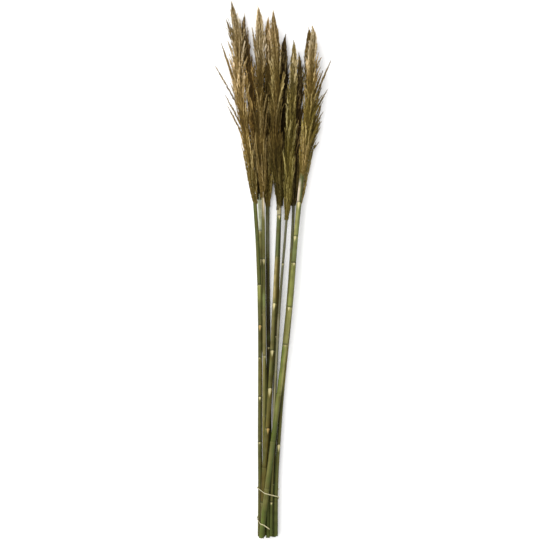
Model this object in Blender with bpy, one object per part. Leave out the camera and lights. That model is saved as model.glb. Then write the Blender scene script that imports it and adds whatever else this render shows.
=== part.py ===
"""A bunch of ten dried plume reeds, tied once with a strand of raffia and laid on its side.

Each reed is a hollow, jointed stem that carries one feathery plume. Lengths are in metres.
+Y runs from the cut ends to the tips of the plumes, and +Z is up from the table.
"""

import math
import random

import bmesh
import bpy
import numpy as np
from mathutils import Vector

# ---- the bunch ------------------------------------------------------------------------

LENGTH = 0.960                   # from the cut ends to the tip of the tallest plume
GAP = 0.0003                     # clear space between two pieces that touch
NECK_GAP = 0.0005                # between a stem and its plume, whose ends aren't quite parallel
SPARE = 0.0005                   # space that the settled reeds keep from each other
STATIONS = (0.006, 0.087, 0.247, 0.426, 0.595, 0.700)     # heights at which a reed's place is given

# ---- stems ----------------------------------------------------------------------------

CUT_WIDENING = 1.05              # a stem is this much thicker than its width at the cut
NECK_TAPER = 0.90                # and this much thinner where the plume begins
JOINT_SWELL = 1.10               # a joint stands this much proud of the stem
JOINT_HALF = 0.0035              # half the length of a joint's swelling
LONGEST_RUN = 0.080              # a longer run between joints has one more ring, for its bend
BORE = 0.55                      # the hollow's width, as a share of the stem's
BORE_DEPTH = 0.014               # how far up the hollow is open
STEM_SIDES = 8                   # faces round a stem
BORE_SIDES = 8                   # faces round its hollow

# ---- plumes ---------------------------------------------------------------------------

PLUME_RADIUS = 0.0130            # full radius of a plume whose fullness is 1
PLUME_SHAPE = (                  # share of the length, share of the full radius, dense share
    (0.00, 0.27, 1.00), (0.08, 0.56, 0.94), (0.22, 0.86, 0.80), (0.40, 1.00, 0.70),
    (0.62, 0.98, 0.64), (0.78, 0.88, 0.68), (0.88, 0.72, 0.78), (0.95, 0.42, 0.86),
    (1.00, 0.06, 1.00),
)
LOCKS = 8                        # tufts that sweep up round each plume
LOCK_SPAN = 0.36                 # share of the plume that one lock runs past
LOCK_FIRST = 0.04                # where the lowest and the highest lock begin
LOCK_LAST = 0.58
LOCK_GIRTH = 0.29                # radius of a lock, as a share of the plume's
LOCK_LIMIT = 0.45                # a lock is never thicker than this share of the plume there
LOCK_SHAPE = ((0.00, 0.50), (0.36, 1.00), (0.74, 0.68), (1.00, 0.09))
LOCK_START = 0.30                # how far out a lock begins, as a share of the way to its tip
LOCK_SWEEP = 0.7                 # below 1, a lock leaves the middle of the plume early
LOCK_UNEVEN = 0.08               # a lock is up to this share longer or shorter than the rest
STRAY_SWEEP = 1.15               # above 1, a stray branch bends away late
STRAY_TIP = 0.30                 # the least thickness of its tip, as a share of its girth
GOLDEN_ANGLE = math.radians(137.5)
PLUME_SIDES = 8                  # faces round the core of a plume
LOCK_SIDES = 4                   # faces round a lock or a stray branch
TIP_ROOM = 0.001                 # the least room that a plume takes among the others
NOD_FROM = 0.78                  # a plume that nods bends from this share of its length
NOD_BEND = 1.8                   # above 1, most of the bend is near its tip

# ---- raffia ---------------------------------------------------------------------------

STRAND = 0.0009                  # radius of the raffia
STRAND_SIDES = 6                 # faces round it
TIE_STEP = 15                    # degrees between two points of the strand
TIE_COURSE = (                   # angle round the bunch, height above the cut ends
    (24, 0.0864), (0, 0.0868), (-180, 0.0890), (-360, 0.0726), (-540, 0.0330), (-645, 0.0253),
)
TIE_TAIL = (0.0112, -0.0084, -0.0028)    # the step to the tip of its loose end
TIE_SWEEPS = 3                   # rounds that spread the strand's drop evenly along its length
TIE_BED = 0.100                  # the stems lie on the strand from the cut to this height

# ---- the reeds: places across the bunch at STATIONS and at the tip, then sizes ----------
# low is the height of the middle of the reed at the tie, and high is that in the plume. The end
# of some plumes nods: its tip is that far to one side of the plume's own line.

REEDS = (
    dict(across=(-0.0180, -0.0176, -0.0180, -0.0205, -0.0276, -0.0406), tip=(-0.0735, 0.959), nod=-0.0060,
         width=0.0074, neck=0.605, cut=0.001, fullness=1.00, low=0.0063, high=0.033,
         joints=(0.096, 0.170, 0.251, 0.322, 0.379, 0.452, 0.530)),
    dict(across=(-0.0085, -0.0088, -0.0120, -0.0206, -0.0214, -0.0305), tip=(-0.0510, 0.936),
         width=0.0062, neck=0.612, cut=0.000, fullness=0.86, low=0.0115, high=0.012,
         joints=(0.110, 0.205, 0.300, 0.400, 0.497, 0.548)),
    dict(across=(-0.0118, -0.0118, -0.0122, -0.0136, -0.0150, -0.0176), tip=(-0.0257, 0.950), nod=-0.0065,
         width=0.0062, neck=0.615, cut=0.003, fullness=0.96, low=0.0060, high=0.030,
         joints=(0.105, 0.215, 0.325, 0.410, 0.497)),
    dict(across=(-0.0048, -0.0048, -0.0068, -0.0078, -0.0090, -0.0078), tip=(-0.0070, 0.930),
         width=0.0074, neck=0.600, cut=0.001, fullness=0.92, low=0.0060, high=0.012,
         joints=(0.120, 0.236, 0.340, 0.425, 0.505)),
    dict(across=(-0.0160, -0.0155, -0.0030, 0.0052, 0.0146, 0.0105), tip=(0.0010, 0.941),
         width=0.0082, neck=0.593, cut=0.002, fullness=0.98, low=0.0135, high=0.032,
         joints=(0.062, 0.125, 0.195, 0.266, 0.334, 0.418, 0.502, 0.575)),
    dict(across=(0.0030, 0.0030, 0.0042, 0.0098, 0.0143, 0.0180), tip=(0.0250, 0.899),
         width=0.0062, neck=0.600, cut=0.000, fullness=0.92, low=0.0062, high=0.012,
         joints=(0.070, 0.163, 0.262, 0.360, 0.465)),
    dict(across=(-0.0030, -0.0009, 0.0046, 0.0139, 0.0291, 0.0334), tip=(0.0400, 0.887),
         width=0.0048, neck=0.575, cut=0.003, fullness=0.78, low=0.0165, high=0.030,
         joints=(0.063, 0.180, 0.295, 0.400, 0.490)),
    dict(across=(-0.0018, -0.0004, 0.0130, 0.0318, 0.0422, 0.0459), tip=(0.0512, 0.866), nod=-0.0030,
         width=0.0056, neck=0.600, cut=0.002, fullness=0.86, low=0.0115, high=0.012,
         joints=(0.095, 0.200, 0.310, 0.415, 0.515)),
    dict(across=(-0.0177, -0.0086, 0.0112, 0.0336, 0.0470, 0.0598), tip=(0.0728, 0.914),
         width=0.0086, neck=0.648, cut=0.001, fullness=0.96, low=0.0195, high=0.034,
         joints=(0.088, 0.172, 0.258, 0.345, 0.412, 0.491, 0.538, 0.598)),
    dict(across=(0.0046, 0.0040, 0.0138, 0.0330, 0.0438, 0.0562), tip=(0.0642, 0.912),
         width=0.0066, neck=0.605, cut=0.003, fullness=0.90, low=0.0145, high=0.012,
         joints=(0.070, 0.165, 0.265, 0.360, 0.440, 0.525)),
)

# ---- branches that stand clear of their plume: reed, root, then the tip's place ---------

STRAYS = (
    dict(reed=1, root=0.40, tip=(-0.1010, 0.842), girth=0.0011),
    dict(reed=1, root=0.44, tip=(-0.0895, 0.880), girth=0.0030),
    dict(reed=1, root=0.30, tip=(-0.0820, 0.788), girth=0.0012),
    dict(reed=1, root=0.24, tip=(-0.0775, 0.768), girth=0.0010),
    dict(reed=1, root=0.70, tip=(-0.0805, 0.922), girth=0.0022),
    dict(reed=1, root=0.60, tip=(-0.0555, 0.922), girth=0.0030),
    dict(reed=3, root=0.56, tip=(-0.0350, 0.908), girth=0.0026),
    dict(reed=5, root=0.58, tip=(0.0108, 0.905), girth=0.0024),
    dict(reed=9, root=0.36, tip=(0.1045, 0.851), girth=0.0011),
    dict(reed=9, root=0.30, tip=(0.0970, 0.797), girth=0.0011),
    dict(reed=9, root=0.42, tip=(0.0890, 0.830), girth=0.0012),
    dict(reed=9, root=0.10, tip=(0.0830, 0.740), girth=0.0026),
    dict(reed=10, root=0.22, tip=(0.0855, 0.800), girth=0.0030),
    dict(reed=10, root=0.12, tip=(0.0860, 0.765), girth=0.0026),
)

# ---- settling -------------------------------------------------------------------------

STEP = 0.010                     # distance between two sections of the bunch
SWEEPS = 500                     # rounds of settling
LAST_SWEEPS = 6                  # rounds at the end that only push apart
HOLD = 0.03                      # how firmly a reed is drawn to its own place
STIFFNESS = 0.80                 # how firmly a reed stays straight
STIFF_REACH = 9                  # sections on each side that a bend is shared with
TOP_OF_CLIMB = 0.720             # up to here a reed climbs from the tie to its place in the head
TIP_DROOP = 0.22                 # how far a plume's tip hangs, as a share of its height

MERGE = 0.00001                  # points closer than this are one point
SMOOTH_TO = math.radians(50)     # edges flatter than this are shaded smooth

LOOKS = {
    "stem": ((0.16, 0.15, 0.05), 0.42),
    "plume": ((0.17, 0.12, 0.05), 0.90),
    "raffia": ((0.72, 0.62, 0.36), 0.70),
}


def clear_scene():
    for thing in list(bpy.data.objects):
        bpy.data.objects.remove(thing, do_unlink=True)


def make_material(name, look):
    colour, roughness = LOOKS[look]
    material = bpy.data.materials.new(name)
    material.use_nodes = True
    shader = material.node_tree.nodes["Principled BSDF"]
    shader.inputs["Base Color"].default_value = (*colour, 1.0)
    shader.inputs["Roughness"].default_value = roughness
    shader.inputs["Metallic"].default_value = 0.0
    return material


def stem_radius(reed, along):
    """The plain radius of a stem, which tapers from the cut to the neck."""
    share = along / reed["neck"]
    return 0.5 * reed["width"] * (CUT_WIDENING + (NECK_TAPER - CUT_WIDENING) * share)


def plume_radius(reed, share):
    """The radius that a plume fills at a share of its own length."""
    shares, radii, _ = zip(*PLUME_SHAPE)
    return PLUME_RADIUS * reed["fullness"] * np.interp(share, shares, radii)


def plume_share(reed, along):
    return (along - reed["neck"]) / (reed["tip"][1] - reed["neck"])


def nod_shift(reed, along):
    """How far the end of a plume leans to one side of its line."""
    past = (np.clip(plume_share(reed, along), 0.0, 1.0) - NOD_FROM) / (1.0 - NOD_FROM)
    return reed.get("nod", 0.0) * np.maximum(past, 0.0) ** NOD_BEND


def room(reed, along):
    """The radius that a whole reed needs at each section of the bunch."""
    stem = JOINT_SWELL * stem_radius(reed, along)
    plume = plume_radius(reed, np.clip(plume_share(reed, along), 0.0, 1.0))
    return np.where(along < reed["neck"], stem, np.maximum(plume, TIP_ROOM))


def spread_bend(rows):
    """Each row averaged with the stretch around it; the ends keep their slope."""
    weights = np.hanning(2 * STIFF_REACH + 3)[1:-1]
    weights /= weights.sum()
    before = 2 * rows[:, :1] - rows[:, STIFF_REACH:0:-1]
    after = 2 * rows[:, -1:] - rows[:, -2:-STIFF_REACH - 2:-1]
    padded = np.hstack([before, rows, after])
    return np.array([np.convolve(row, weights, mode="valid") for row in padded])


def push_apart(across, height, radius, present):
    """Move every two reeds that share space away from each other, half each."""
    for one in range(len(REEDS)):
        for other in range(one + 1, len(REEDS)):
            side = across[one] - across[other]
            rise = height[one] - height[other]
            distance = np.maximum(np.hypot(side, rise), 1e-6)
            short = radius[one] + radius[other] + SPARE - distance
            push = 0.5 * np.maximum(short, 0.0) * (present[one] & present[other]) / distance
            across[one] += push * side
            across[other] -= push * side
            height[one] += push * rise
            height[other] -= push * rise


def settle():
    """Lay the reeds down: each is drawn to its own line and kept clear of the others."""
    along = np.arange(0.0, LENGTH + STEP, STEP)
    nods = np.array([nod_shift(reed, along) for reed in REEDS])
    wanted = np.array([
        np.interp(along, STATIONS + (reed["tip"][1],),
                  reed["across"] + (reed["tip"][0] - reed.get("nod", 0.0),))
        for reed in REEDS
    ])
    wanted = spread_bend(wanted)
    level = np.array([
        np.interp(along, (STATIONS[1], TOP_OF_CLIMB, LENGTH),
                  (reed["low"], reed["high"], reed["high"] * (1.0 - TIP_DROOP)))
        for reed in REEDS
    ])
    level = spread_bend(level)
    across = wanted.copy()
    height = level.copy()
    radius = np.array([room(reed, along) for reed in REEDS])
    present = np.array([(along <= reed["tip"][1]) for reed in REEDS])
    bed = np.where(along < TIE_BED, 2 * STRAND + 2 * GAP, 0.0)
    for sweep in range(SWEEPS + LAST_SWEEPS):
        if sweep < SWEEPS:
            across += HOLD * (wanted - across)
            height += HOLD * (level - height)
            across += STIFFNESS * (spread_bend(across - wanted) - (across - wanted))
            height += STIFFNESS * (spread_bend(height) - height)
        push_apart(across, height, radius, present)
        height = np.maximum(height, bed + radius)
    return along, across + nods, height


def make_path(along, across, height):
    """A function that gives the middle of one reed at a height above the cut ends."""
    def place(at):
        return Vector((
            float(np.interp(at, along, across)),
            float(at),
            float(np.interp(at, along, height)),
        ))
    return place


def make_tube(name, points, radii, sides, collection):
    """A capped tube of changing radius along a row of points, as a closed mesh."""
    curve = bpy.data.curves.new(name, "CURVE")
    curve.dimensions = "3D"
    curve.bevel_depth = max(radii)
    curve.bevel_resolution = (sides - 4) // 2
    curve.use_fill_caps = True
    spline = curve.splines.new("POLY")
    spline.points.add(len(points) - 1)
    for control, point, radius in zip(spline.points, points, radii):
        control.co = (*point, 1.0)
        control.radius = radius / max(radii)
    guide = bpy.data.objects.new(name + "_guide", curve)
    bpy.context.scene.collection.objects.link(guide)
    evaluated = guide.evaluated_get(bpy.context.evaluated_depsgraph_get())
    mesh = bpy.data.meshes.new_from_object(evaluated)
    tube = bpy.data.objects.new(name, mesh)
    tube.matrix_world = guide.matrix_world.copy()
    collection.objects.link(tube)
    bpy.data.objects.remove(guide, do_unlink=True)
    weld(mesh)
    return tube


def weld(mesh):
    shape = bmesh.new()
    shape.from_mesh(mesh)
    bmesh.ops.remove_doubles(shape, verts=shape.verts, dist=MERGE)
    bmesh.ops.recalc_face_normals(shape, faces=shape.faces)
    shape.to_mesh(mesh)
    shape.free()


def apply_boolean(body, operation, tools):
    """Join or cut a body with a collection of closed meshes, which is then emptied."""
    modifier = body.modifiers.new(operation.lower(), "BOOLEAN")
    modifier.operation = operation
    modifier.solver = "EXACT"
    modifier.operand_type = "COLLECTION"
    modifier.collection = tools
    evaluated = body.evaluated_get(bpy.context.evaluated_depsgraph_get())
    mesh = bpy.data.meshes.new_from_object(evaluated)
    body.modifiers.clear()
    body.data = mesh
    weld(mesh)
    for tool in list(tools.objects):
        bpy.data.objects.remove(tool, do_unlink=True)


def finish(piece, name, look):
    piece.name = name
    piece.data.name = name
    piece.data.materials.clear()
    piece.data.materials.append(make_material(name, look))
    piece.data.shade_smooth()
    piece.data.set_sharp_from_angle(angle=SMOOTH_TO)


def stem_rings(reed):
    """Heights of a stem's rings, with how far it swells at each."""
    rings = [(reed["cut"], 1.0)]
    for joint in reed["joints"] + (reed["neck"] - NECK_GAP + JOINT_HALF,):
        if joint - rings[-1][0] > LONGEST_RUN:
            rings.append((0.5 * (joint + rings[-1][0]), 1.0))
        rings += [(joint - JOINT_HALF, 1.0), (joint, JOINT_SWELL), (joint + JOINT_HALF, 1.0)]
    return rings[:-2]


def build_stem(number, reed, place, collection, tools):
    """One jointed stem, hollow where it was cut, and the line that its middle follows."""
    rings = stem_rings(reed)
    points = [place(at) for at, _ in rings]
    radii = [stem_radius(reed, at) * swell for at, swell in rings]
    stem = make_tube("stem", points, radii, STEM_SIDES, collection)

    aim = (points[1] - points[0]).normalized()
    bpy.ops.mesh.primitive_cylinder_add(
        vertices=BORE_SIDES, radius=BORE * radii[0], depth=2 * BORE_DEPTH, location=points[0],
        rotation=aim.to_track_quat("Z", "Y").to_euler())
    bore = bpy.context.object
    for owner in list(bore.users_collection):
        owner.objects.unlink(bore)
    tools.objects.link(bore)
    apply_boolean(stem, "DIFFERENCE", tools)
    finish(stem, f"stem_{number:02d}", "stem")
    return stem, make_path(*zip(*((point.y, point.x, point.z) for point in points)))


def lock_points(reed, place, root, end, angle):
    """A lock leaves the middle of the plume and sweeps up and out to its tip."""
    points = []
    radii = []
    length = reed["tip"][1] - reed["neck"]
    for part, swell in LOCK_SHAPE:
        share = root + (end - root) * part
        full = float(plume_radius(reed, share))
        girth = LOCK_GIRTH * swell * PLUME_RADIUS * reed["fullness"]
        girth = min(girth, LOCK_LIMIT * full)
        reach = (full - girth) * (LOCK_START + (1.0 - LOCK_START) * part ** LOCK_SWEEP)
        middle = place(reed["neck"] + length * share)
        points.append(middle + reach * Vector((math.cos(angle), 0.0, math.sin(angle))))
        radii.append(girth)
    return points, radii


def stray_points(reed, place, stray):
    """A long branch that bends away from its plume to a tip beside it."""
    length = reed["tip"][1] - reed["neck"]
    start = place(reed["neck"] + length * stray["root"])
    beside = place(stray["tip"][1])
    end = Vector((stray["tip"][0], stray["tip"][1], beside.z))
    points = []
    radii = []
    for part, swell in LOCK_SHAPE:
        drift = part ** STRAY_SWEEP
        points.append(Vector((
            start.x + (end.x - start.x) * drift,
            start.y + (end.y - start.y) * part,
            start.z + (end.z - start.z) * part,
        )))
        radii.append(stray["girth"] * max(swell, STRAY_TIP))
    return points, radii


def build_plume(number, reed, place, collection, tools):
    """One plume: a dense core with locks all round, grown together."""
    length = reed["tip"][1] - reed["neck"]
    points = [place(reed["neck"] + length * share) for share, _, _ in PLUME_SHAPE]
    radii = [dense * float(plume_radius(reed, share)) for share, _, dense in PLUME_SHAPE]
    radii[0] = stem_radius(reed, reed["neck"])
    plume = make_tube("plume", points, radii, PLUME_SIDES, collection)

    chance = random.Random(number)
    start_angle = chance.uniform(0.0, 2.0 * math.pi)
    for lock in range(LOCKS):
        root = LOCK_FIRST + (LOCK_LAST - LOCK_FIRST) * lock / (LOCKS - 1)
        end = root + LOCK_SPAN * chance.uniform(1.0 - LOCK_UNEVEN, 1.0 + LOCK_UNEVEN)
        angle = start_angle + lock * GOLDEN_ANGLE
        course, girths = lock_points(reed, place, root, end, angle)
        make_tube("lock", course, girths, LOCK_SIDES, tools)
    for stray in STRAYS:
        if stray["reed"] == number:
            course, girths = stray_points(reed, place, stray)
            make_tube("stray", course, girths, LOCK_SIDES, tools)
    apply_boolean(plume, "UNION", tools)
    finish(plume, f"plume_{number:02d}", "plume")
    return plume


def tie_points(angles, heights, middles):
    """Points just outside the stems, one for each angle round the bunch."""
    points = []
    for angle, at in zip(angles.tolist(), heights.tolist()):
        out = Vector((math.cos(math.radians(angle)), 0.0, math.sin(math.radians(angle))))
        reaches = []
        for reed, middle in zip(REEDS, middles):
            girth = JOINT_SWELL * stem_radius(reed, at)
            reaches.append((middle(at).dot(out) + girth, middle(at) + girth * out))
        outermost = max(reaches, key=lambda reach: reach[0])[1]
        points.append(outermost + (STRAND + GAP) * out)
    return points


def build_tie(middles, collection):
    """The raffia: two taut turns round the stems, down towards the cut ends."""
    key_angles, key_heights = np.array(TIE_COURSE).T
    angles = np.arange(key_angles[0], key_angles[-1] - 1, -TIE_STEP)
    heights = np.interp(-angles, -key_angles, key_heights)
    for sweep in range(TIE_SWEEPS):
        points = tie_points(angles, heights, middles)
        steps = [math.hypot(b.x - a.x, b.z - a.z) for a, b in zip(points, points[1:])]
        run = np.concatenate([[0.0], np.cumsum(steps)])
        key_runs = np.interp(-key_angles, -angles, run)
        heights = np.interp(run, key_runs, key_heights)
    points = tie_points(angles, heights, middles)
    points.append(points[-1] + Vector(TIE_TAIL))
    tie = make_tube("tie", points, [STRAND] * len(points), STRAND_SIDES, collection)
    finish(tie, "raffia_tie", "raffia")
    return tie


def stand_on_origin(pieces):
    """Put the middle of the bunch's footprint at the origin, resting on the table."""
    corners = [piece.matrix_world @ vertex.co for piece in pieces for vertex in piece.data.vertices]
    low = [min(corner[axis] for corner in corners) for axis in range(3)]
    high = [max(corner[axis] for corner in corners) for axis in range(3)]
    base = bpy.data.objects.new("bunch_base", None)
    bpy.context.scene.collection.objects.link(base)
    for piece in pieces:
        piece.parent = base
    base.location = (-0.5 * (low[0] + high[0]), -0.5 * (low[1] + high[1]), -low[2])


def main():
    clear_scene()
    bunch = bpy.data.collections.new("bunch_of_reeds")
    tools = bpy.data.collections.new("tools")
    bpy.context.scene.collection.children.link(bunch)
    bpy.context.scene.collection.children.link(tools)
    along, across, height = settle()
    pieces = []
    middles = []
    for number, reed in enumerate(REEDS, start=1):
        place = make_path(along, across[number - 1], height[number - 1])
        stem, middle = build_stem(number, reed, place, bunch, tools)
        pieces += [stem, build_plume(number, reed, place, bunch, tools)]
        middles.append(middle)
    pieces.append(build_tie(middles, bunch))
    stand_on_origin(pieces)


main()
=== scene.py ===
import math
import random

import bmesh
import bpy
import numpy as np
from mathutils import Matrix, Vector


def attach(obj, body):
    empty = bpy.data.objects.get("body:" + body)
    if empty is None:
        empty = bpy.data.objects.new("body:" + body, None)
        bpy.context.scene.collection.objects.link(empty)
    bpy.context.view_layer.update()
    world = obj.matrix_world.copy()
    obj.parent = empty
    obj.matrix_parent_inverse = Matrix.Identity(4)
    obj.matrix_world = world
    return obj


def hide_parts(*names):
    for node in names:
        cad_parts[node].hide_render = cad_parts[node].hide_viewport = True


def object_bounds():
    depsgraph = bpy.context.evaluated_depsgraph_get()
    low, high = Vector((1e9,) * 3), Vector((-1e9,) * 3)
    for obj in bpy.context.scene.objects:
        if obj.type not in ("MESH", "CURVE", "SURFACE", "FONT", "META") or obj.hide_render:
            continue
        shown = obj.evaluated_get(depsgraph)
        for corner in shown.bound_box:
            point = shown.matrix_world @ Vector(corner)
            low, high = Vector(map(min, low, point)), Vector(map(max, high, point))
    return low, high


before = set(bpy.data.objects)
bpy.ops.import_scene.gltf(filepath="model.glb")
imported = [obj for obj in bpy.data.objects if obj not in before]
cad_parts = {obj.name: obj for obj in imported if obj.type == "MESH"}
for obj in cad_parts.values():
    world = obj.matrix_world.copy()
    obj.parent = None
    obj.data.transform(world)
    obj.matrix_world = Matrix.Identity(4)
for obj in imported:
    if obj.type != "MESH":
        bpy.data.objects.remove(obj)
cadLow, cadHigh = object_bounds()
print("frame loaded:", len(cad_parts), "nodes")

mergeDistance = 1e-6  # points closer than this are one point
goldenAngle = math.radians(137.5)
anyAngle = (0.0, 6.28)  # radians


def limit(value, low=0.0, high=1.0):
    return min(high, max(low, value))


def outward(angle):  # directions away from a line along the bunch, for angles in radians
    return np.stack([np.cos(angle), np.zeros_like(angle), np.sin(angle)], axis=-1)


def addObject(name, data):
    thing = bpy.data.objects.new(name, data)
    bpy.context.scene.collection.objects.link(thing)
    return thing


def meshOf(shape, name):  # the mesh of a shape, which is freed
    mesh = bpy.data.meshes.new(name)
    shape.to_mesh(mesh)
    shape.free()
    return mesh


def startLoop(shape, sides, place):  # a unit circle set in its place, and its edges
    loop = bmesh.ops.create_circle(shape, segments=sides, radius=1.0, matrix=place)["verts"]
    return loop, list(shape.edges)


def sweepLoop(shape, edges, places):  # carries a loop on through the places and closes it
    loops = []
    for last, here in zip(places, places[1:]):
        made = bmesh.ops.extrude_edge_only(shape, edges=edges)["geom"]
        loop = [item for item in made if isinstance(item, bmesh.types.BMVert)]
        edges = [item for item in made if isinstance(item, bmesh.types.BMEdge)]
        bmesh.ops.transform(shape, matrix=here @ last.inverted(), verts=loop)
        loops.append(loop)
    bmesh.ops.edgeloop_fill(shape, edges=edges)
    return loops


def readNode(name):  # a CAD node's points and edges
    shape = bmesh.new()
    shape.from_mesh(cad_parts[name].data)
    bmesh.ops.remove_doubles(shape, verts=shape.verts, dist=mergeDistance)
    points = np.array([vertex.co for vertex in shape.verts])
    edges = np.array([[vertex.index for vertex in edge.verts] for edge in shape.edges])
    shape.free()
    return points, edges


stemReading = dict(
    ringGap=0.0012,  # least distance between two rings
    boreShare=0.75,  # rings narrower than this, against the foot, are inside the hollow
    jointShare=1.04,  # rings wider than this, against the next ones, are joints
)


def readStem(name):  # the middle of a stem's rings, its joints and its taper
    points = readNode(name)[0]
    points = points[np.argsort(points[:, 1])]
    breaks = np.where(np.diff(points[:, 1]) > stemReading["ringGap"])[0] + 1
    rings = np.split(points, breaks)
    middles = np.array([ring.mean(axis=0) for ring in rings])
    radii = np.array([
        np.linalg.norm(ring - middle, axis=1).max() for ring, middle in zip(rings, middles)])
    outer = radii > stemReading["boreShare"] * radii[0]
    middles, radii = middles[outer], radii[outer]
    between = 0.5 * (radii[:-2] + radii[2:])
    isJoint = np.concatenate([[False], radii[1:-1] > stemReading["jointShare"] * between, [False]])
    taper = np.polyfit(middles[~isJoint, 1], radii[~isJoint], 1)
    joints = [float(along) for along in middles[isJoint, 1]]
    return dict(middles=middles, joints=joints, taper=(float(taper[0]), float(taper[1])))


def stemMiddle(stem, along):  # the middle of a stem at a place along the bunch
    across, places, up = stem["middles"].T
    return np.array([np.interp(along, places, across), along, np.interp(along, places, up)])


lightGain = 1.30  # how much brighter than its own colour a lit surface looks here


def toLinear(colour):  # from a colour as a screen shows it lit, 0 to 255
    return tuple(((value / 255 + 0.055) / 1.055) ** 2.4 / lightGain for value in colour)


def newMaterial(name):
    material = bpy.data.materials.new(name)
    material.use_nodes = True
    tree = material.node_tree
    return material, tree, tree.nodes["Principled BSDF"]


def feedNode(tree, node, inputs):  # an input takes another node's output, or a value
    for name, source in inputs.items():
        if isinstance(source, bpy.types.NodeSocket):
            tree.links.new(source, node.inputs[name])
        else:
            node.inputs[name].default_value = source


def addNode(tree, kind, inputs, **settings):  # gives the new node's outputs
    node = tree.nodes.new(kind)
    for key, value in settings.items():
        setattr(node, key, value)
    feedNode(tree, node, inputs)
    return node.outputs


def readAttribute(tree, name, output="Color"):
    return addNode(tree, "ShaderNodeAttribute", {}, attribute_name=name)[output]


def addRamp(tree, source, stops):  # stops are (place, colour) pairs
    ramp = tree.nodes.new("ShaderNodeValToRGB")
    elements = ramp.color_ramp.elements
    while len(elements) < len(stops):
        elements.new(1.0)
    for element, (place, colour) in zip(elements, stops):
        element.position = place
        element.color = (*colour, 1.0)
    feedNode(tree, ramp, {"Fac": source})
    return ramp.outputs["Color"]


def addTones(tree, source, stops):  # a ramp of colours as a screen shows them
    return addRamp(tree, source, [(place, toLinear(colour)) for place, colour in stops])


def addShades(tree, source, stops):  # a ramp of greys
    return addRamp(tree, source, [(place, (shade, shade, shade)) for place, shade in stops])


def mixColours(tree, blend, share, first, second):
    inputs = {"Fac": share, "Color1": first, "Color2": second}
    return addNode(tree, "ShaderNodeMixRGB", inputs, blend_type=blend)["Color"]


bumpDepth = 0.0002


def addBump(tree, height, strength):
    inputs = {"Strength": strength, "Distance": bumpDepth, "Height": height}
    return addNode(tree, "ShaderNodeBump", inputs)["Normal"]


def makeGrainGroup():  # streaks along the fibre and soft blotches
    group = bpy.data.node_groups.new("plant grain", "ShaderNodeTree")
    face = group.interface
    face.new_socket("Vector", in_out="INPUT", socket_type="NodeSocketVector")
    for name in ("Streak Scale", "Streak Stretch", "Blotch Scale"):
        face.new_socket(name, in_out="INPUT", socket_type="NodeSocketFloat")
    for name in ("Streak", "Blotch"):
        face.new_socket(name, in_out="OUTPUT", socket_type="NodeSocketFloat")
    given = addNode(group, "NodeGroupInput", {})
    across, along = given["Streak Scale"], given["Streak Stretch"]
    scales = addNode(group, "ShaderNodeCombineXYZ", {"X": across, "Y": along, "Z": across})["Vector"]
    place = addNode(group, "ShaderNodeVectorMath", {0: given["Vector"], 1: scales}, operation="MULTIPLY")
    streak = {"Vector": place["Vector"], "Scale": 1.0, "Detail": 3.0}
    blotch = {"Vector": given["Vector"], "Scale": given["Blotch Scale"], "Detail": 2.0}
    addNode(group, "NodeGroupOutput", {
        "Streak": addNode(group, "ShaderNodeTexNoise", streak)["Fac"],
        "Blotch": addNode(group, "ShaderNodeTexNoise", blotch)["Fac"],
    })
    return group


grainGroup = makeGrainGroup()


def addGrain(tree, source, scales):  # gives the streaks and the blotches
    inputs = dict(zip(("Vector", "Streak Scale", "Streak Stretch", "Blotch Scale"), (source, *scales)))
    grain = addNode(tree, "ShaderNodeGroup", inputs, node_tree=grainGroup)
    return grain["Streak"], grain["Blotch"]


stemFinish = {  # slot: shades of the streaks, roughness, coat, strength of the second tint
    "olive_stem": dict(dark=0.45, light=1.35, roughness=0.50, coat=0.02, blotch=0.50),
    "brown_stem": dict(dark=0.45, light=1.35, roughness=0.52, coat=0.02, blotch=0.50),
    "pale_stem": dict(dark=0.60, light=1.20, roughness=0.58, coat=0.01, blotch=0.35),
    "green_stem": dict(dark=0.50, light=1.28, roughness=0.46, coat=0.03, blotch=0.45),
}

stemSurface = dict(  # what all the canes share
    grain=(1100.0, 13.0, 55.0),  # scales of the streaks across and along, and of the blotches
    patchEdges=(0.38, 0.66),  # blotches where the second tint starts and is full
    streakStops=(0.30, 0.52, 0.75),  # streaks that take the three shades
    polish=0.08,  # how much smoother the smoothest streaks are
    dulling=0.16,  # and how much rougher the roughest
    bump=0.35,
    specular=0.06,
    coatRoughness=0.30,
)


def makeStemMaterial(slot):
    look = stemFinish[slot]
    material, tree, shader = newMaterial(slot)
    streak, blotch = addGrain(tree, readAttribute(tree, "grain", "Vector"), stemSurface["grain"])
    patch = addShades(tree, blotch, zip(stemSurface["patchEdges"], (0.0, look["blotch"])))
    tint = mixColours(tree, "MIX", patch, readAttribute(tree, "tint"), readAttribute(tree, "secondTint"))
    shades = addShades(tree, streak, zip(stemSurface["streakStops"], (look["dark"], 1.0, look["light"])))
    rough = {
        "Value": streak,
        "To Min": look["roughness"] - stemSurface["polish"],
        "To Max": look["roughness"] + stemSurface["dulling"],
    }
    feedNode(tree, shader, {
        "Base Color": mixColours(tree, "MULTIPLY", 1.0, tint, shades),
        "Roughness": addNode(tree, "ShaderNodeMapRange", rough)["Result"],
        "Normal": addBump(tree, streak, stemSurface["bump"]),
        "Specular IOR Level": stemSurface["specular"],
        "Coat Weight": look["coat"],
        "Coat Roughness": stemSurface["coatRoughness"],
    })
    return material


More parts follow.
